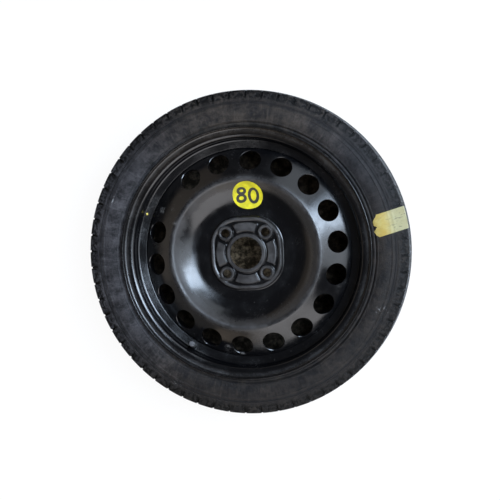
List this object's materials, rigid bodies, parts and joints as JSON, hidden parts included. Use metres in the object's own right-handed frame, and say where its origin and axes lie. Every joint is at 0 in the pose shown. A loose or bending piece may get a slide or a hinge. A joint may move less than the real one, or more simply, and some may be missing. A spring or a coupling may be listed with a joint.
{
  "type": "spare wheel",
  "caption": "Temporary-use spare wheel: black pressed-steel disc with round vents, narrow tyre, snap-in valve with cap, round speed label and a strip of paper tape.",
  "frame": {"origin": "centre of the wheel, on its axis and halfway between the rim's flanges", "axes": "+Z along the wheel's axis towards its outer face, which lies upwards; +X and +Y in the wheel's plane, to the right and up in the picture"},
  "size_m": [0.57, 0.57, 0.1246],
  "materials": {
    "tyre_rubber": "dull black rubber, dusty",
    "black_paint": "satin black paint, lightly scuffed",
    "valve_rubber": "matt black rubber",
    "brass": "plain turned brass",
    "spring_steel": "bright spring wire",
    "cap_plastic": "moulded black plastic",
    "label_film": "yellow vinyl label with dark digits",
    "tape_paper": "cream masking tape"
  },
  "bodies": {
    "wheel": {"tyre": "tyre_rubber", "rim": "black_paint", "wheel_disc": "black_paint", "disc_welds": "black_paint", "valve_body": "valve_rubber", "valve_stem": "brass", "valve_core_plug": "brass", "valve_core_spring": "spring_steel", "speed_sticker": "label_film", "paper_tape": "tape_paper"},
    "core_pin": {"valve_core_pin": "brass", "valve_core_seal": "valve_rubber"},
    "cap": {"valve_cap": "cap_plastic"}
  },
  "joints": [
    {"name": "cap_lift", "type": "slide", "parent": "wheel", "child": "cap", "axis": [0.1145, 0.1936, 0.9744], "range_m": [0, 0.012]},
    {"name": "core_pin_press", "type": "slide", "parent": "wheel", "child": "core_pin", "axis": [0.1145, 0.1936, 0.9744], "range_m": [-0.0012, 0], "stiffness_N_per_m": 300, "springref_m": 0.002, "deforming": ["valve_core_spring"]}
  ]
}
